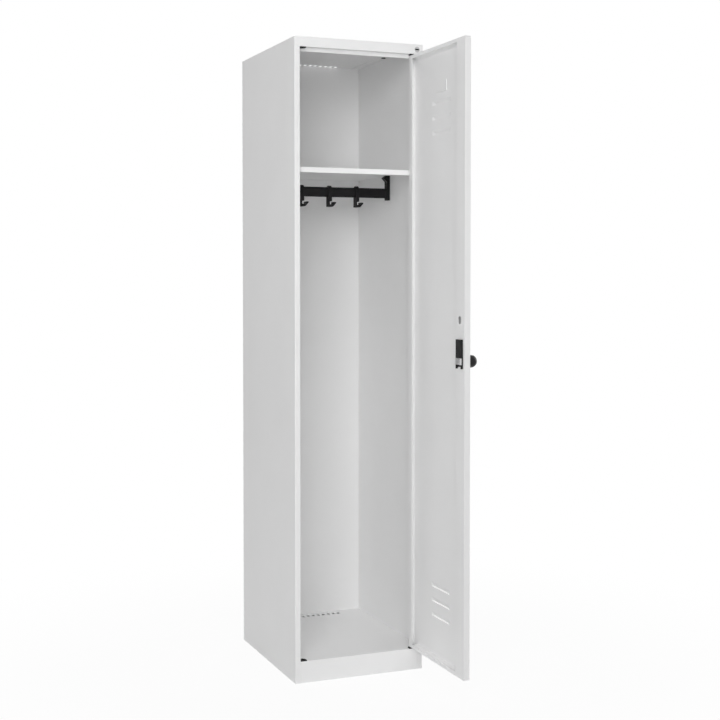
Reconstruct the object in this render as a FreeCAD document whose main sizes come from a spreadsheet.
import FreeCAD, Part
import math
import os
import re

import Sketcher

# A single-door sheet-steel garment locker, shown with its door open.
# Millimetres, +Z up. The origin is on the floor, in the middle of the front plinth's foot flange.
# The door's pieces are drawn closed, about the hinge axis, and are then swung open by their placement.

LENGTHS = {
    # Carcass
    "width": 400,
    "depth": 500,
    "height": 1850,
    "gauge": 0.8,
    "bend_radius": 1.6,
    "strip_width": 16.6,
    "return_depth": 19.5,
    "rear_flange": 15,
    "head_flange": 27,
    "fascia_height": 28.5,
    "lip_drop": 10.3,
    "plinth_height": 62.5,
    "plinth_flange": 20,
    # Vents in the roof and the floor
    "vent_pitch": 17.5,
    "vent_width": 9,
    "roof_vent_length": 21,
    "floor_vent_length": 15,
    "roof_vent_inset": 13,
    "floor_vent_inset": 33,
    # Hat shelf, rail and hooks
    "shelf_top": 1483.5,
    "shelf_fold": 15,
    "shelf_setback": 25,
    "rail_drop": 55.7,
    "rail_height": 30.4,
    "rail_depth": 15,
    "rail_wall": 1.2,
    "bracket_width": 9.8,
    "bracket_depth": 20,
    "bracket_toe": 6.5,
    "nub_reach": 10,
    "nub_fall": 6,
    "nub_nose": 3,
    "nub_root": 19,
    "collar_length": 3.5,
    "collar_rim": 1.2,
    "spigot_length": 18,
    "screw_radius": 2,
    "screw_length": 14,
    "screw_head_radius": 4,
    "screw_head_height": 2.2,
    "hook_pitch": 90,
    "hook_play": 0.3,
    "hook_wall": 4.2,
    "hook_width": 10.4,
    "hook_drop": 45.5,
    "hook_base": 7.5,
    "hook_heel": 8.5,
    "hook_reach": 19,
    "hook_tip_drop": 30.5,
    "hook_nose": 3.5,
    "hook_throat_near": -1.6,
    "hook_throat_far": 11,
    "hook_neck_drop": 28.5,
    "hook_round": 2,
    "hook_sweep": 8,
    # Plugs
    "header_plug_radius": 8,
    "header_plug_height": 1.6,
    "header_plug_inset": 19,
    "header_plug_drop": 15,
    "header_slot_length": 12.5,
    "header_slot_width": 4.2,
    "header_slot_depth": 1.1,
    "roof_plug_radius": 6.5,
    "roof_plug_height": 2,
    "roof_plug_inset": 18,
    # Hinge
    "bush_width": 19,
    "bush_tail": 5,
    "bush_cut": 7,
    "bush_thickness": 3,
    "bush_boss_radius": 6.5,
    "bush_boss_length": 6,
    "pin_radius": 4,
    "pin_play": 0.05,
    "pin_end_gap": 0.5,
    "pin_chamfer": 0.8,
    "pin_head_radius": 5.5,
    "pin_head_height": 3,
    "hinge_plate": 3,
    "hinge_plate_length": 16,
    "washer_radius": 7,
    # Door
    "door_thickness": 18.2,
    "door_gap_hinge": 0.9,
    "door_gap_free": 0.9,
    "door_play": 0.5,
    "roll_radius": 7.4,
    "hinge_lip": 22,
    "end_lip": 10,
    "corner_tab": 13,
    "stile_width": 52.7,
    "stile_slot_rise": 112.6,
    "stile_slot_inset": 29,
    "stile_slot_width": 16.5,
    "stile_slot_length": 22.5,
    "louvre_pitch": 42.3,
    "louvre_length": 130,
    "louvre_height": 14,
    "louvre_bulge": 4.2,
    "louvre_nose": 4,
    "louvre_slope": 20,
    "louvre_low": 123,
    "louvre_high": 145,
    "label_length": 64,
    "label_height": 30,
    "label_depth": 1.1,
    "label_drop": 111,
    # Lock
    "lock_height": 938.4,
    "lock_backset": 26,
    "rosette_radius": 21,
    "rosette_height": 4,
    "neck_radius": 8,
    "neck_length": 12,
    "nut_flats": 24,
    "nut_thickness": 5,
    "knob_radius": 17.7,
    "knob_height": 26.8,
    "knob_gap": 0.3,
    "knob_crown": 0.6,
    "knob_bore_depth": 14,
    "grip_width": 6,
    "grip_depth": 6,
    "spindle_radius": 5,
    "crank_radius": 9,
    "crank_gap": 0.2,
    "crank_thickness": 2,
    "crank_end_radius": 3.5,
    "crank_pin_radius": 2.5,
    "bolt_gap": 0.4,
    "bolt_thickness": 2,
    "bolt_height": 18,
    "bolt_proud": 0.3,
    "bolt_play": 0.6,
    "bolt_bevel": 8,
    "bolt_nose": 0.2,
    "yoke_wall": 2,
    "yoke_rise": 16,
    "case_inset": 8.5,
    "case_width": 31.5,
    "case_below": 20,
    "case_height": 80,
    "case_proud": 7,
    "case_wall": 1.5,
    "recess_height": 6,
    "recess_depth": 5,
    # Fits and cuts
    "fit_play": 0.1,
    "hole_play": 0.4,
    "overrun": 1,
}
ANGLES = {"open_angle": 90, "grip_angle": 45, "crank_angle": 45}
COUNTS = {"vent_count": 14, "louvre_count": 3, "hook_count": 3, "nut_sides": 6}
SIZES = {**LENGTHS, **ANGLES, **COUNTS}

# Places that several pieces share, worked out from the sizes.
PLACES = {
    "front": "-plinth_flange / 2",
    "rear": "front + depth",
    "middle": "front + depth / 2",
    "side": "width / 2",
    "wall": "side - gauge",
    "opening": "side - strip_width",
    "return_end": "front + return_depth",
    "back_face": "rear - 2 * gauge",
    "ceiling": "height - gauge",
    "header_bottom": "height - fascia_height",
    "floor_under": "plinth_height - gauge",
    "inner_bend": "bend_radius - gauge",
    "shelf_front": "front + shelf_setback",
    "shelf_under": "shelf_top - gauge",
    "rail_level": "shelf_top - rail_drop",
    "rail_straight": "(rail_height - rail_depth) / 2",
    "bracket_face": "wall - bracket_width",
    "rail_end": "bracket_face - collar_length",
    "ring_radius": "rail_depth / 2 + hook_play + hook_wall",
    "axis_across": "opening - door_gap_hinge - door_thickness / 2",
    "axis_back": "front + door_thickness / 2",
    "door_low": "plinth_height + bush_thickness + door_play",
    "door_high": "header_bottom - bush_thickness - door_play",
    "hinge_edge": "door_thickness / 2",
    "free_edge": "hinge_edge - 2 * opening + door_gap_hinge + door_gap_free",
    "door_centre": "(hinge_edge + free_edge) / 2",
    "outer": "-door_thickness / 2",
    "inner": "door_thickness / 2",
    "skin": "outer + gauge",
    "stile_edge": "free_edge + stile_width",
    "lock_across": "free_edge + lock_backset",
    "knob_base": "outer - rosette_height - knob_gap",
    "crank_face": "inner + crank_gap",
    "crank_front": "crank_face + crank_thickness",
    "crank_pin_across": "lock_across + crank_radius * cos(crank_angle)",
    "crank_pin_up": "lock_height + crank_radius * sin(crank_angle)",
    "bolt_face": "crank_front + bolt_gap",
    "bolt_front": "bolt_face + bolt_thickness",
    "bolt_half": "bolt_height / 2",
    "bolt_low": "lock_height - bolt_half",
    "yoke_room": "crank_pin_radius + bolt_play",
    "bolt_end": "crank_pin_across + yoke_room + yoke_wall",
    "case_free": "free_edge + case_inset",
    "case_hinge": "case_free + case_width",
    "case_low": "lock_height - case_below",
    "case_high": "case_low + case_height",
    "case_face": "inner + case_proud",
    "case_sill": "bolt_low - recess_height",
    "bolt_top": "case_face + bolt_proud",
}

WORD = re.compile(r"[a-z_]+")
PLANE_AXES = {"XY_Plane": "xyz", "XZ_Plane": "xzy", "YZ_Plane": "yzx"}
ALONG = {
    "x": FreeCAD.Rotation(FreeCAD.Vector(0, 1, 0), 90),
    "y": FreeCAD.Rotation(FreeCAD.Vector(1, 0, 0), -90),
    "z": FreeCAD.Rotation(),
}
SAME_POINT = 1e-4
QUARTER_TURN = "90"
HALF_TURN = "180"

doc = FreeCAD.newDocument("garment_locker")
sheet = doc.addObject("Spreadsheet::Sheet", "Sizes")
for row, (alias, size) in enumerate(SIZES.items(), 1):
    sheet.set(f"A{row}", alias)
    sheet.set(f"B{row}", str(size))
    sheet.setAlias(f"B{row}", alias)
doc.recompute()


# Helpers
def formula(text):
    """The text with places spelled out and sizes pointing at their cells in the sheet."""

    def spell(match):
        word = match.group()
        if word in PLACES:
            return f"({formula(PLACES[word])})"
        return f"Sizes.{word}" if word in SIZES else word

    return WORD.sub(spell, text)


def count(alias):
    return int(round(sheet.get(alias)))


def place(item, x="0", y="0", z="0"):
    for axis, text in zip("xyz", (x, y, z)):
        item.setExpression(f"Placement.Base.{axis}", formula(text))
    return item


def turn(item, axis, angle):
    """Turns the item about an axis through its own origin, by a formula in degrees."""
    item.Placement = FreeCAD.Placement(FreeCAD.Vector(), FreeCAD.Rotation(FreeCAD.Vector(*axis), 1))
    item.setExpression("Placement.Rotation.Angle", formula(angle))
    return item


def box(name, x, y, z):
    """A block between a low and a high formula on each axis."""
    item = doc.addObject("Part::Box", name)
    for size, (low, high) in zip(("Length", "Width", "Height"), (x, y, z)):
        item.setExpression(size, formula(f"({high}) - ({low})"))
    return place(item, x[0], y[0], z[0])


def rod(name, along, start, end, centre, radius):
    """A round bar along one axis; centre gives the two other coordinates, in X, Y, Z order."""
    item = doc.addObject("Part::Cylinder", name)
    item.Placement = FreeCAD.Placement(FreeCAD.Vector(), ALONG[along])
    item.setExpression("Radius", formula(radius))
    item.setExpression("Height", formula(f"({end}) - ({start})"))
    at = list(centre)
    at.insert("xyz".index(along), start)
    return place(item, *at)


def fuse(name, items):
    item = doc.addObject("Part::MultiFuse", name)
    item.Shapes = items
    item.Refine = True
    return item


def cut(name, base, tools):
    item = doc.addObject("Part::Cut", name)
    item.Base = base
    item.Tool = tools[0] if len(tools) == 1 else fuse(name + "_cuts", tools)
    return item


def outline(name, plane, corners):
    """A body with one closed outline in an origin plane; each corner is placed by two formulas."""
    body = doc.addObject("PartDesign::Body", name)
    sketch = body.newObject("Sketcher::SketchObject", name + "_outline")
    support = next(f for f in body.Origin.OriginFeatures if f.Role == plane)
    sketch.AttachmentSupport = [(support, "")]
    sketch.MapMode = "FlatFace"
    total = len(corners)
    angles = [2 * math.pi * i / total for i in range(total)]
    ring = [FreeCAD.Vector(math.cos(a), math.sin(a), 0) for a in angles]
    for i in range(total):
        sketch.addGeometry(Part.LineSegment(ring[i], ring[(i + 1) % total]), False)
    for i in range(total):
        sketch.addConstraint(Sketcher.Constraint("Coincident", i, 2, (i + 1) % total, 1))
    for i, corner in enumerate(corners):
        for kind, start, text in zip(("DistanceX", "DistanceY"), ring[i], corner):
            index = sketch.addConstraint(Sketcher.Constraint(kind, -1, 1, i, 1, start))
            sketch.setExpression(f"Constraints[{index}]", formula(text))
    return body, sketch


def edges_at(feature, plane, spots):
    """The names of the edges that stand on these spots of the outline's plane."""
    across, up, _ = PLANE_AXES[plane]
    names = []
    for number, edge in enumerate(feature.Shape.Edges, 1):
        ends = [v.Point for v in edge.Vertexes]
        for spot in spots:
            gaps = [abs(getattr(e, across) - spot.x) + abs(getattr(e, up) - spot.y) for e in ends]
            if len(ends) == 2 and max(gaps) < SAME_POINT:
                names.append(f"Edge{number}")
    return names


def folded(name, plane, corners, low, high):
    """A profile drawn in a plane and run from low to high along that plane's normal.

    A corner is two formulas for its place, and a third for its radius where it is rounded."""
    body, sketch = outline(name, plane, corners)
    feature = body.newObject("PartDesign::Pad", name + "_run")
    feature.Profile = sketch
    feature.setExpression("Length", formula(f"({high}) - ({low})"))
    feature.Reversed = plane == "XZ_Plane"
    rounded = {}
    for number, (_, _, *radius) in enumerate(corners):
        if radius:
            rounded.setdefault(radius[0], []).append(number)
    for radius, numbers in rounded.items():
        doc.recompute()
        spots = [sketch.Geometry[number].StartPoint for number in numbers]
        fillet = body.newObject("PartDesign::Fillet", f"{name}_{radius.replace(' ', '')}")
        fillet.Base = (feature, edges_at(feature, plane, spots))
        fillet.setExpression("Radius", formula(radius))
        feature = fillet
    return place(body, **{PLANE_AXES[plane][-1]: low})


def turned(name, points):
    """A solid turned about Z from an outline of radius and height."""
    body, sketch = outline(name, "XZ_Plane", points)
    solid = body.newObject("PartDesign::Revolution", name + "_turn")
    solid.Profile = sketch
    solid.ReferenceAxis = (sketch, ["V_Axis"])
    return body, solid


def to_side(sign, low, high):
    """A span of X on the right, or its mirror image on the left."""
    return (f"-({high})", f"-({low})") if sign else (low, high)


def on_side(sign, corners):
    return [(f"{sign}({x})", *rest) for x, *rest in corners]


def hang(item):
    """Swings a piece of the door, drawn closed about the hinge axis, to its open place."""
    turn(item, (0, 0, 1), "open_angle")
    return place(item, "axis_across", "axis_back")


SIDES = {"left": "-", "right": ""}
nodes = []


# Side panels: wall, front strip with its return, rear flange, foot and head flanges
SIDE_PROFILE = [
    ("opening", "return_end"),
    ("opening", "front", "bend_radius"),
    ("side", "front", "bend_radius"),
    ("side", "rear", "bend_radius"),
    ("side - rear_flange", "rear"),
    ("side - rear_flange", "rear - gauge"),
    ("wall", "rear - gauge", "inner_bend"),
    ("wall", "front + gauge", "inner_bend"),
    ("opening + gauge", "front + gauge", "inner_bend"),
    ("opening + gauge", "return_end"),
]


def side_panel(hand, sign):
    name = f"{hand}_side_panel"
    profile = on_side(sign, SIDE_PROFILE)
    sheet_body = folded(f"{hand}_side_sheet", "XY_Plane", profile, "0", "ceiling")
    foot_span = to_side(sign, "opening + gauge", "wall")
    foot = box(f"{hand}_foot_flange", foot_span, ("front + gauge", "back_face"), ("0", "gauge"))
    head_span = to_side(sign, "wall - head_flange", "wall")
    head = box(f"{hand}_head_flange", head_span, ("return_end + gauge", "back_face"),
               ("ceiling - gauge", "ceiling"))
    whole = fuse(f"{hand}_side_folded", [sheet_body, foot, head])
    room = box(
        f"{hand}_header_room",
        to_side(sign, "opening - overrun", "wall"),
        ("front - overrun", "return_end"),
        ("header_bottom", "ceiling + overrun"),
    )
    return cut(name, whole, [room])


nodes += [side_panel(hand, sign) for hand, sign in SIDES.items()]


# Back panel, laid on the rear flanges between their bends
BACK_EDGE = "(wall - inner_bend)"
nodes.append(
    box("back_panel", (f"-{BACK_EDGE}", BACK_EDGE), ("back_face", "rear - gauge"), ("0", "ceiling"))
)


# Roof and floor, each with a row of vent slots along the rear
def vent_slots(name, low, high):
    total = count("vent_count")
    slots = []
    for i in range(total):
        middle = f"{i - (total - 1) / 2} * vent_pitch"
        slots.append(
            box(
                f"{name}_{i}",
                (f"{middle} - vent_width / 2", f"{middle} + vent_width / 2"),
                (f"rear - {name}_inset - {name}_length / 2", f"rear - {name}_inset + {name}_length / 2"),
                (f"{low} - overrun", f"{high} + overrun"),
            )
        )
    return slots


def boss_holes(name, low, high):
    """Holes that take the bosses of the two corner bushes."""
    return [
        rod(f"{name}_{hand}", "z", low, high, (f"{sign}axis_across", "axis_back"),
            "bush_boss_radius + fit_play")
        for hand, sign in SIDES.items()
    ]


ROOF_CORNERS = [
    ("-side", "front", "bend_radius"),
    ("side", "front", "bend_radius"),
    ("side", "rear", "bend_radius"),
    ("-side", "rear", "bend_radius"),
]
roof = folded("roof_sheet", "XY_Plane", ROOF_CORNERS, "ceiling", "height")
nodes.append(cut("roof_panel", roof, vent_slots("roof_vent", "ceiling", "height")))

FLOOR_CORNERS = [
    ("-opening", "front"),
    ("opening", "front"),
    ("opening", "return_end"),
    ("wall", "return_end"),
    ("wall", "back_face"),
    ("-wall", "back_face"),
    ("-wall", "return_end"),
    ("-opening", "return_end"),
]
floor = folded("floor_sheet", "XY_Plane", FLOOR_CORNERS, "floor_under", "plinth_height")
nodes.append(
    cut(
        "floor_panel",
        floor,
        vent_slots("floor_vent", "floor_under", "plinth_height")
        + boss_holes("floor_boss_hole", "floor_under - overrun", "plinth_height + overrun"),
    )
)


# Door header: fascia, step under it and the stop lip behind the door's top edge
HEADER_PROFILE = [
    ("return_end", "ceiling"),
    ("front", "ceiling"),
    ("front", "header_bottom", "bend_radius"),
    ("return_end", "header_bottom"),
    ("return_end", "header_bottom - lip_drop"),
    ("return_end + gauge", "header_bottom - lip_drop"),
    ("return_end + gauge", "header_bottom + gauge"),
    ("front + gauge", "header_bottom + gauge", "inner_bend"),
    ("front + gauge", "ceiling - gauge"),
    ("return_end", "ceiling - gauge"),
]
header = folded("header_sheet", "YZ_Plane", HEADER_PROFILE, "-wall", "wall")
# The lip stops short of the hinge, where the door's inner corner swings past
hinge_room = box(
    "header_hinge_room",
    ("opening - bush_width", "wall + overrun"),
    ("return_end - overrun", "return_end + gauge + overrun"),
    ("header_bottom - lip_drop - overrun", "header_bottom"),
)
header_holes = boss_holes(
    "header_boss_hole", "header_bottom - overrun", "header_bottom + gauge + overrun"
)
nodes.append(cut("door_header", header, [hinge_room, *header_holes]))


# Plinths: channels under the floor, at the front and the rear
def plinth_profile(face, direction):
    """A channel whose web stands at face and whose flanges run in the given direction of Y."""
    flange_end = f"{face} {direction} plinth_flange"
    inside = f"{face} {direction} gauge"
    return [
        (flange_end, "floor_under"),
        (face, "floor_under"),
        (face, "0", "bend_radius"),
        (flange_end, "0"),
        (flange_end, "gauge"),
        (inside, "gauge", "inner_bend"),
        (inside, "floor_under - gauge"),
        (flange_end, "floor_under - gauge"),
    ]


plinth = folded("plinth_sheet", "YZ_Plane", plinth_profile("front", "+"), "-opening", "opening")
nodes.append(
    cut(
        "plinth_front",
        plinth,
        boss_holes("plinth_boss_hole", "plinth_height / 2", "plinth_height"),
    )
)
nodes.append(
    folded("plinth_rear", "YZ_Plane", plinth_profile("back_face", "-"), "-opening", "opening")
)


# Hat shelf: a tray folded down at the front and the rear
SHELF_PROFILE = [
    ("shelf_front", "shelf_top - shelf_fold"),
    ("shelf_front", "shelf_top", "bend_radius"),
    ("back_face", "shelf_top", "bend_radius"),
    ("back_face", "shelf_top - shelf_fold"),
    ("back_face - gauge", "shelf_top - shelf_fold"),
    ("back_face - gauge", "shelf_under", "inner_bend"),
    ("shelf_front + gauge", "shelf_under", "inner_bend"),
    ("shelf_front + gauge", "shelf_top - shelf_fold"),
]
shelf = folded("shelf_sheet", "YZ_Plane", SHELF_PROFILE, "-wall", "wall")


def screw_spot(sign):
    return (f"{sign}(wall - bracket_width / 2)", "middle")


screw_holes = [
    rod(f"shelf_screw_hole_{hand}", "z", "shelf_under - overrun", "shelf_top + overrun",
        screw_spot(sign), "screw_radius + fit_play")
    for hand, sign in SIDES.items()
]
nodes.append(cut("hat_shelf", shelf, screw_holes))


# Coat rail: an oval tube across the locker under the shelf
def oval_bar(name, x, radius):
    """An upright oval bar along X on the rail's centre line."""
    core = box(
        f"{name}_core",
        x,
        (f"middle - ({radius})", f"middle + ({radius})"),
        ("rail_level - rail_straight", "rail_level + rail_straight"),
    )
    ends = [
        rod(f"{name}_{part}", "x", *x, ("middle", f"rail_level {sign} rail_straight"), radius)
        for part, sign in (("upper", "+"), ("lower", "-"))
    ]
    return fuse(name, [core, *ends])


rail_outside = oval_bar("rail_outside", ("-rail_end", "rail_end"), "rail_depth / 2")
rail_bore = oval_bar(
    "rail_bore", ("-rail_end - overrun", "rail_end + overrun"), "rail_depth / 2 - rail_wall"
)
nodes.append(cut("coat_rail", rail_outside, [rail_bore]))


# Rail brackets: hanger bar with a claw under the shelf, a collar and a spigot in the rail's end
BRACKET_OUTLINE = [
    ("wall", "shelf_under"),
    ("wall", "rail_level - rail_height / 2 - bracket_toe"),
    ("bracket_face", "rail_level - rail_height / 2 - bracket_toe", "bend_radius"),
    ("bracket_face", "shelf_under - nub_root"),
    ("bracket_face - nub_reach", "shelf_under - nub_fall - nub_nose"),
    ("bracket_face - nub_reach", "shelf_under - nub_fall"),
    ("bracket_face", "shelf_under"),
]


def rail_bracket(hand, sign):
    bar = folded(
        f"{hand}_bracket_bar", "XZ_Plane", on_side(sign, BRACKET_OUTLINE),
        "middle - bracket_depth / 2", "middle + bracket_depth / 2",
    )
    collar = oval_bar(
        f"{hand}_collar", to_side(sign, "rail_end", "bracket_face"), "rail_depth / 2 + collar_rim"
    )
    spigot = oval_bar(
        f"{hand}_spigot",
        to_side(sign, "rail_end - spigot_length", "rail_end"),
        "rail_depth / 2 - rail_wall - fit_play",
    )
    whole = fuse(f"{hand}_bracket", [bar, collar, spigot])
    pilot = rod(f"{hand}_pilot", "z", "shelf_top - screw_length - overrun", "shelf_top",
                screw_spot(sign), "screw_radius + fit_play")
    return cut(f"rail_bracket_{hand}", whole, [pilot])


nodes += [rail_bracket(hand, sign) for hand, sign in SIDES.items()]


def bracket_screw(hand, sign):
    body, _ = turned(
        f"bracket_screw_{hand}",
        [
            ("0", "-screw_length"),
            ("screw_radius", "-screw_length"),
            ("screw_radius", "0"),
            ("screw_head_radius", "0"),
            ("screw_head_radius", "screw_head_height"),
            ("0", "screw_head_height"),
        ],
    )
    return place(body, *screw_spot(sign), "shelf_top")


screws = doc.addObject("Part::Compound", "bracket_screws")
screws.Links = [bracket_screw(hand, sign) for hand, sign in SIDES.items()]
nodes.append(screws)


# Coat hooks: a block with an oval eye that slides along the rail, and a prong beside its throat
HOOK_OUTLINE = [
    ("-hook_width / 2", "-rail_straight"),
    ("-hook_width / 2", "-hook_drop", "hook_round"),
    ("hook_heel", "-hook_drop", "hook_sweep"),
    ("hook_reach", "-hook_tip_drop - hook_nose", "hook_round"),
    ("hook_reach", "-hook_tip_drop"),
    ("hook_throat_far", "-hook_tip_drop"),
    ("hook_throat_far", "-hook_drop + hook_base", "hook_round"),
    ("hook_throat_near", "-hook_drop + hook_base", "hook_round"),
    ("hook_throat_near", "-hook_neck_drop", "hook_round"),
    ("hook_width / 2", "-hook_neck_drop", "hook_round"),
    ("hook_width / 2", "-rail_straight"),
]


def coat_hook(number, step):
    across = f"({step} * hook_pitch)"
    corners = [
        (f"{across} + {x}", f"rail_level + {z}", *radius) for x, z, *radius in HOOK_OUTLINE
    ]
    stem = folded(
        f"hook_stem_{number}", "XZ_Plane", corners, "middle - ring_radius", "middle + ring_radius"
    )
    ring_span = (f"{across} - hook_width / 2", f"{across} + hook_width / 2")
    ring = oval_bar(f"hook_ring_{number}", ring_span, "ring_radius")
    whole = fuse(f"hook_whole_{number}", [ring, stem])
    eye_span = (f"{across} - hook_width", f"{across} + hook_width")
    eye = oval_bar(f"hook_eye_{number}", eye_span, "rail_depth / 2 + hook_play")
    return cut(f"coat_hook_{number}", whole, [eye])


hook_total = count("hook_count")
nodes += [coat_hook(i + 1, i - (hook_total - 1) / 2) for i in range(hook_total)]


# Header plug: a plain round cap with a coin slot, pressed on the fascia
plug_spot = ("side - header_plug_inset", "height - header_plug_drop")
plug = rod("plug_disc", "y", "front - header_plug_height", "front", plug_spot, "header_plug_radius")
plug_slot = box(
    "plug_slot",
    (f"{plug_spot[0]} - header_slot_length / 2", f"{plug_spot[0]} + header_slot_length / 2"),
    ("front - header_plug_height - overrun", "front - header_plug_height + header_slot_depth"),
    (f"{plug_spot[1]} - header_slot_width / 2", f"{plug_spot[1]} + header_slot_width / 2"),
)
nodes.append(cut("header_plug", plug, [plug_slot]))


# Roof plugs: round blanking caps under the head flanges, above the rail brackets
roof_plugs = doc.addObject("Part::Compound", "roof_plugs")
roof_plugs.Links = [
    rod(f"roof_plug_{hand}", "z", "ceiling - gauge - roof_plug_height", "ceiling - gauge",
        (f"{sign}(wall - roof_plug_inset)", "middle"), "roof_plug_radius")
    for hand, sign in SIDES.items()
]
nodes.append(roof_plugs)


# Hinge bushes: a corner plate on the header's step or the floor, with a bored boss through it.
# The plates on the door's side are longer
BUSH_WIDTHS = {"left": "bush_width", "right": "(bush_width + bush_tail)"}
BUSH_LEVELS = {
    "top": (
        ("header_bottom - bush_thickness", "header_bottom"),
        ("header_bottom - bush_thickness", "header_bottom + gauge + bush_boss_length"),
    ),
    "bottom": (
        ("plinth_height", "plinth_height + bush_thickness"),
        ("floor_under - bush_boss_length", "plinth_height + bush_thickness"),
    ),
}


def hinge_bush(level, hand, sign):
    plate_span, boss_span = BUSH_LEVELS[level]
    spot = (f"{sign}axis_across", "axis_back")
    tag = f"{level}_{hand}"
    end = f"opening - {BUSH_WIDTHS[hand]}"
    corners = [
        ("opening", "front"),
        ("opening", "return_end"),
        (f"{end} + bush_cut", "return_end"),
        (end, "return_end - bush_cut"),
        (end, "front"),
    ]
    plate = folded(f"bush_plate_{tag}", "XY_Plane", on_side(sign, corners), *plate_span)
    boss = rod(f"bush_boss_{tag}", "z", *boss_span, spot, "bush_boss_radius")
    bore_span = (f"{boss_span[0]} - overrun", f"{boss_span[1]} + overrun")
    bore = rod(f"bush_bore_{tag}", "z", *bore_span, spot, "pin_radius + pin_play")
    return cut(f"hinge_bush_{tag}", fuse(f"bush_{tag}", [plate, boss]), [bore])


nodes += [hinge_bush(level, hand, sign) for level in BUSH_LEVELS for hand, sign in SIDES.items()]


# Door panel: skin with a rolled hinge edge, closed ends with lips, louvres and a label recess
PAN_PROFILE = [
    ("hinge_edge - hinge_lip", "inner"),
    ("hinge_edge", "inner", "bend_radius"),
    ("hinge_edge", "outer", "roll_radius"),
    ("free_edge", "outer", "bend_radius"),
    ("free_edge", "inner - gauge"),
    ("free_edge + gauge", "inner - gauge"),
    ("free_edge + gauge", "skin", "inner_bend"),
    ("hinge_edge - gauge", "skin", "roll_radius - gauge"),
    ("hinge_edge - gauge", "inner - gauge", "inner_bend"),
    ("hinge_edge - hinge_lip", "inner - gauge"),
]
END_CORNERS = [
    ("hinge_edge", "inner", "bend_radius"),
    ("hinge_edge", "outer", "roll_radius"),
    ("free_edge", "outer", "bend_radius"),
    ("free_edge", "inner"),
]
DOOR_ENDS = {"top": ("door_high", "-"), "bottom": ("door_low", "+")}


def ordered(face, direction, near, far):
    """The span from near to far, both measured from a door end towards the door's middle."""
    span = (f"{face} {direction} ({near})", f"{face} {direction} ({far})")
    return span if direction == "+" else span[::-1]


def door_end(level):
    """The closed end of the pan: its plate, the lip at the inside and the tab behind the free edge."""
    at = DOOR_ENDS[level]
    return [
        folded(f"end_plate_{level}", "XY_Plane", END_CORNERS, *ordered(*at, "0", "gauge")),
        box(
            f"end_lip_{level}",
            ("free_edge", "hinge_edge - bend_radius"),
            ("inner - gauge", "inner"),
            ordered(*at, "0", "end_lip"),
        ),
        box(
            f"corner_tab_{level}",
            ("free_edge + gauge", "free_edge + 2 * gauge"),
            ("skin", "inner - gauge"),
            ordered(*at, "0", "2 * corner_tab"),
        ),
    ]


def corner_notch(level):
    return box(
        f"corner_notch_{level}",
        ("free_edge - overrun", "free_edge + gauge"),
        ("outer + bend_radius", "inner - gauge"),
        ordered(*DOOR_ENDS[level], "gauge", "corner_tab"),
    )


def sloped_block(name, length, height, rise, slope, start, top_height, low):
    """A block that rises from the door's skin and narrows; its low edge stays level.

    It starts inside the skin by start, rises outwards, and lies along the door's centre."""
    item = doc.addObject("Part::Wedge", name)
    sizes = {
        "Xmin": f"-({length}) / 2",
        "Xmax": f"({length}) / 2",
        "X2min": f"-({length}) / 2 + {slope}",
        "X2max": f"({length}) / 2 - {slope}",
        "Ymin": f"-({start})",
        "Ymax": rise,
        "Zmin": "0",
        "Zmax": height,
        "Z2min": "0",
        "Z2max": top_height,
    }
    for size, text in sizes.items():
        item.setExpression(size, formula(text))
    turn(item, (0, 0, 1), HALF_TURN)
    return place(item, "door_centre", "outer", low)


def louvre(number, low):
    """A hood pressed out of the skin, open at its lower edge, and the space under it."""
    hood = sloped_block(
        f"louvre_hood_{number}", "louvre_length", "louvre_height", "louvre_bulge",
        "louvre_slope", "gauge / 2", "louvre_nose", low,
    )
    space = sloped_block(
        f"louvre_space_{number}", "louvre_length - 2 * gauge", "louvre_height - gauge + overrun",
        "louvre_bulge - gauge", "louvre_slope", "gauge + overrun", "louvre_nose - gauge + overrun",
        f"{low} - overrun",
    )
    return hood, space


def label_recess():
    """A shallow plate pressed inwards from the skin for a name card."""
    low = "door_high - label_drop - label_height / 2"
    span = ("door_centre - label_length / 2", "door_centre + label_length / 2")
    boss = box(
        "label_boss",
        (f"{span[0]} - gauge", f"{span[1]} + gauge"),
        ("outer", "skin + label_depth"),
        (f"{low} - gauge", f"{low} + label_height + gauge"),
    )
    room = box(
        "label_room",
        span,
        ("outer - overrun", "outer + label_depth"),
        (low, f"{low} + label_height"),
    )
    return boss, room


pan = folded("door_pan", "XY_Plane", PAN_PROFILE, "door_low + gauge / 2", "door_high - gauge / 2")
notched_pan = cut("notched_pan", pan, [corner_notch(level) for level in DOOR_ENDS])
louvre_steps = range(count("louvre_count"))
louvre_lows = [f"door_low + louvre_low + {step} * louvre_pitch" for step in louvre_steps]
louvre_lows += [
    f"door_high - louvre_high - louvre_height - {step} * louvre_pitch" for step in louvre_steps
]
louvres = [louvre(number, low) for number, low in enumerate(louvre_lows, 1)]
label_boss, label_room = label_recess()
door_solids = [notched_pan, label_boss]
door_solids += [solid for level in DOOR_ENDS for solid in door_end(level)]
door_solids += [hood for hood, _ in louvres]
door_cuts = [space for _, space in louvres]
door_cuts += [
    label_room,
    rod("door_pin_hole", "z", "door_low - overrun", "door_high + overrun", ("0", "0"),
        "pin_radius + pin_play"),
    rod("door_neck_hole", "y", "outer - overrun", "skin + overrun", ("lock_across", "lock_height"),
        "neck_radius + fit_play"),
]
nodes.append(hang(cut("door_panel", fuse("door_folded", door_solids), door_cuts)))


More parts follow.
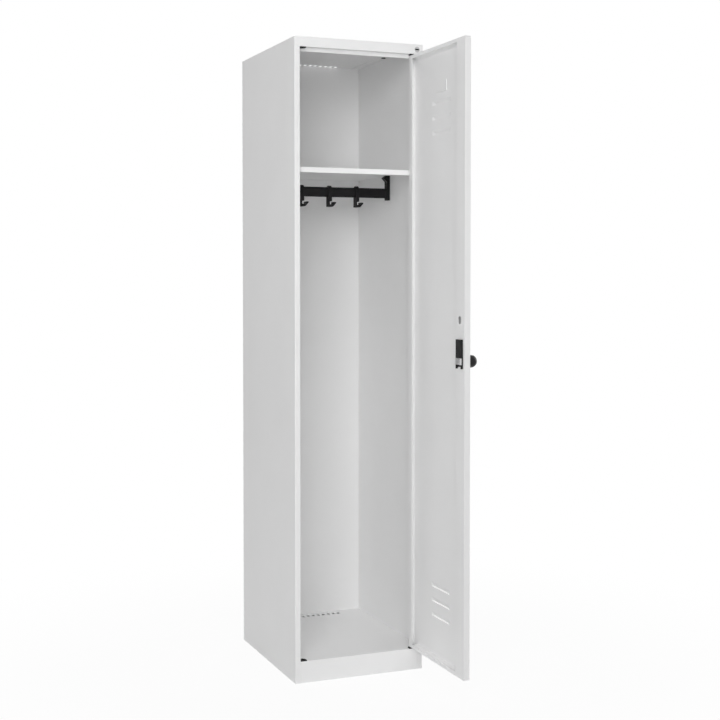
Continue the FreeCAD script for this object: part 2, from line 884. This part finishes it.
# Lock stile: closes the free edge of the pan and carries the lock
STILE_PROFILE = [
    ("free_edge", "inner"),
    ("stile_edge", "inner", "bend_radius"),
    ("stile_edge", "skin"),
    ("stile_edge - gauge", "skin"),
    ("stile_edge - gauge", "inner - gauge", "inner_bend"),
    ("free_edge", "inner - gauge"),
]
stile = folded("stile_sheet", "XY_Plane", STILE_PROFILE, "door_low + end_lip", "door_high - end_lip")
slot_across = "free_edge + stile_slot_inset"
slot_up = "lock_height + stile_slot_rise"
slot_end = "(stile_slot_length - stile_slot_width) / 2"
through_stile = ("inner - gauge - overrun", "inner + overrun")
stile_cuts = [
    box(
        "stile_slot",
        (f"{slot_across} - stile_slot_width / 2", f"{slot_across} + stile_slot_width / 2"),
        through_stile,
        (f"{slot_up} - {slot_end}", f"{slot_up} + {slot_end}"),
    ),
    rod("stile_spindle_hole", "y", *through_stile, ("lock_across", "lock_height"),
        "spindle_radius + hole_play"),
]
stile_cuts += [
    rod(f"stile_slot_{part}", "y", *through_stile, (slot_across, f"{slot_up} {sign} {slot_end}"),
        "stile_slot_width / 2")
    for part, sign in (("upper", "+"), ("lower", "-"))
]
nodes.append(hang(cut("door_lock_stile", stile, stile_cuts)))


# Hinge plates, pins and washer at the ends of the door's rolled edge
HINGE_PLATE_OUTLINE = [
    ("-hinge_plate_length", "inner - gauge"),
    ("hinge_edge - gauge - fit_play", "inner - gauge", "bend_radius"),
    ("hinge_edge - gauge - fit_play", "skin + fit_play", "roll_radius - gauge - fit_play"),
    ("-hinge_plate_length", "skin + fit_play"),
]
PIN_REACH = "door_play + bush_thickness + gauge + bush_boss_length - pin_end_gap"


def hinge_plate(level):
    span = ordered(*DOOR_ENDS[level], "gauge", "gauge + hinge_plate")
    plate = folded(f"plate_{level}", "XY_Plane", HINGE_PLATE_OUTLINE, *span)
    hole = rod(f"plate_hole_{level}", "z", f"{span[0]} - overrun", f"{span[1]} + overrun", ("0", "0"),
               "pin_radius + pin_play")
    return hang(cut(f"hinge_plate_{level}", plate, [hole]))


def hinge_pin(level):
    """A headed pin: its head lies inside the door, its shank runs out into the bush."""
    face, direction = DOOR_ENDS[level]
    sign = "" if direction == "-" else "-"
    seat = "-(gauge + hinge_plate)"
    heights = [f"{seat} - pin_head_height", seat, f"{PIN_REACH} - pin_chamfer", PIN_REACH]
    low, shoulder, bevel, tip = (f"{sign}({text})" for text in heights)
    body, _ = turned(
        f"hinge_pin_{level}",
        [
            ("0", low),
            ("pin_head_radius", low),
            ("pin_head_radius", shoulder),
            ("pin_radius", shoulder),
            ("pin_radius", bevel),
            ("pin_radius - pin_chamfer", tip),
            ("0", tip),
        ],
    )
    return place(hang(body), "axis_across", "axis_back", face)


for level in DOOR_ENDS:
    nodes += [hinge_plate(level), hinge_pin(level)]

washer_span = ("door_low - door_play", "door_low")
washer = rod("washer_disc", "z", *washer_span, ("0", "0"), "washer_radius")
washer_hole = rod("washer_hole", "z", "door_low - door_play - overrun", "door_low + overrun",
                  ("0", "0"), "pin_radius + pin_play")
nodes.append(hang(cut("hinge_washer", washer, [washer_hole])))


# Lock: rosette with a threaded neck, nut, domed knob, spindle with crank, bolt and case
lock_spot = ("lock_across", "lock_height")
rosette = fuse(
    "rosette_whole",
    [
        rod("rosette_disc", "y", "outer - rosette_height", "outer", lock_spot, "rosette_radius"),
        rod("rosette_neck", "y", "outer", "outer + neck_length", lock_spot, "neck_radius"),
    ],
)
rosette_bore = rod(
    "rosette_bore", "y", "outer - rosette_height - overrun", "outer + neck_length + overrun",
    lock_spot, "spindle_radius + pin_play",
)
nodes.append(hang(cut("lock_rosette", rosette, [rosette_bore])))

nut = doc.addObject("Part::Prism", "nut_hexagon")
nut.Placement = FreeCAD.Placement(FreeCAD.Vector(), ALONG["y"])
nut.setExpression("Polygon", formula("nut_sides"))
nut.setExpression("Circumradius", formula(f"nut_flats / 2 / cos({HALF_TURN} / nut_sides)"))
nut.setExpression("Height", formula("nut_thickness"))
place(nut, "lock_across", "skin", "lock_height")
nut_hole = rod("nut_hole", "y", "skin - overrun", "skin + nut_thickness + overrun", lock_spot,
               "neck_radius + fit_play")
nodes.append(hang(cut("lock_nut", nut, [nut_hole])))

knob_body, knob_turned = turned(
    "knob_dome",
    [("0", "0"), ("knob_radius", "0"), ("knob_radius", "knob_height"), ("0", "knob_height")],
)
doc.recompute()
rims = [
    (edge.BoundBox.ZMax, f"Edge{number}")
    for number, edge in enumerate(knob_turned.Shape.Edges, 1)
    if isinstance(edge.Curve, Part.Circle)
]
dome = knob_body.newObject("PartDesign::Fillet", "knob_dome_round")
dome.Base = (knob_turned, [max(rims)[1]])
dome.setExpression("Radius", formula("knob_radius - knob_crown"))
turn(knob_body, (1, 0, 0), QUARTER_TURN)
place(knob_body, "lock_across", "knob_base", "lock_height")
GRIP_OUTLINE = [
    ("-knob_radius", "-grip_width / 2"),
    ("knob_radius", "-grip_width / 2"),
    ("knob_radius", "grip_width / 2"),
    ("-knob_radius", "grip_width / 2"),
]
grip_span = ("knob_base - knob_height - overrun", "knob_base - knob_height + grip_depth")
grip = folded("knob_grip", "XZ_Plane", GRIP_OUTLINE, *grip_span)
turn(grip, (0, 1, 0), "grip_angle")
place(grip, "lock_across", grip_span[0], "lock_height")
knob_bore = rod("knob_bore", "y", "knob_base - knob_bore_depth", "knob_base + overrun", lock_spot,
                "spindle_radius + fit_play")
nodes.append(hang(cut("lock_knob", knob_body, [grip, knob_bore])))

ARM_OUTLINE = [
    ("0", "-crank_end_radius"),
    ("crank_radius", "-crank_end_radius"),
    ("crank_radius", "crank_end_radius"),
    ("0", "crank_end_radius"),
]
arm = folded("crank_arm", "XZ_Plane", ARM_OUTLINE, "crank_face", "crank_front")
turn(arm, (0, 1, 0), "-crank_angle")
place(arm, "lock_across", "crank_face", "lock_height")
pin_spot = ("crank_pin_across", "crank_pin_up")
nodes.append(
    hang(
        fuse(
            "lock_spindle",
            [
                rod("spindle_bar", "y", "knob_base - knob_bore_depth", "crank_front", lock_spot,
                    "spindle_radius"),
                arm,
                rod("crank_end", "y", "crank_face", "crank_front", pin_spot, "crank_end_radius"),
                rod("crank_pin", "y", "crank_face", "bolt_front - bolt_gap", pin_spot,
                    "crank_pin_radius"),
            ],
        )
    )
)

BOLT_HEAD_OUTLINE = [
    ("case_free", "bolt_front"),
    ("case_hinge", "bolt_front"),
    ("case_hinge", "bolt_top"),
    ("case_free + bolt_bevel", "bolt_top"),
    ("case_free", "bolt_front + bolt_nose"),
]
bolt = fuse(
    "bolt_whole",
    [
        folded("bolt_head", "XY_Plane", BOLT_HEAD_OUTLINE, "bolt_low", "lock_height + bolt_half"),
        box("bolt_yoke", ("2 * crank_pin_across - bolt_end", "bolt_end"), ("bolt_face", "bolt_front"),
            ("lock_height", "lock_height + yoke_rise")),
    ],
)
yoke_slot = box(
    "yoke_slot",
    ("crank_pin_across - yoke_room", "crank_pin_across + yoke_room"),
    ("bolt_face - overrun", "bolt_front"),
    ("crank_pin_up - yoke_room", "lock_height + crank_radius + yoke_room"),
)
nodes.append(hang(cut("lock_bolt", bolt, [yoke_slot])))

# Lock case: a hollow cover, cut across for the bolt, stepped back under it and open at the foot
case_block = box(
    "case_block", ("case_free", "case_hinge"), ("inner", "case_face"), ("case_low", "case_high")
)
between_walls = ("case_free + case_wall", "case_hinge - case_wall")
case_cuts = [
    box("case_hollow", between_walls, ("inner - overrun", "case_face - case_wall"),
        ("bolt_low", "case_high - case_wall")),
    box("case_head_way", ("case_free - overrun", "case_hinge + overrun"),
        ("bolt_front - fit_play", "case_face + overrun"),
        ("bolt_low - fit_play", "lock_height + bolt_half + fit_play")),
    box("case_recess", between_walls, ("case_face - recess_depth", "case_face + overrun"),
        ("case_sill", "bolt_low")),
    box("case_foot", between_walls, ("inner - overrun", "case_face + overrun"),
        ("case_low - overrun", "case_sill")),
]
nodes.append(hang(cut("lock_case", case_block, case_cuts)))


# Checks, then one file for each piece
doc.recompute()
failed = [o.Label for o in doc.Objects if {"Invalid", "Error"} & set(o.State)]
if failed:
    raise RuntimeError(f"these objects failed: {failed}")
broken = [n.Label for n in nodes if n.Shape.isNull() or not n.Shape.isValid()]
if broken:
    raise RuntimeError(f"these pieces have no sound shape: {broken}")
os.makedirs("parts", exist_ok=True)
for piece in nodes:
    piece.Shape.exportStep(f"parts/{piece.Label}.step")
    print(f"{piece.Label}: {len(piece.Shape.Solids)} solid, {piece.Shape.Volume:.0f} mm3")
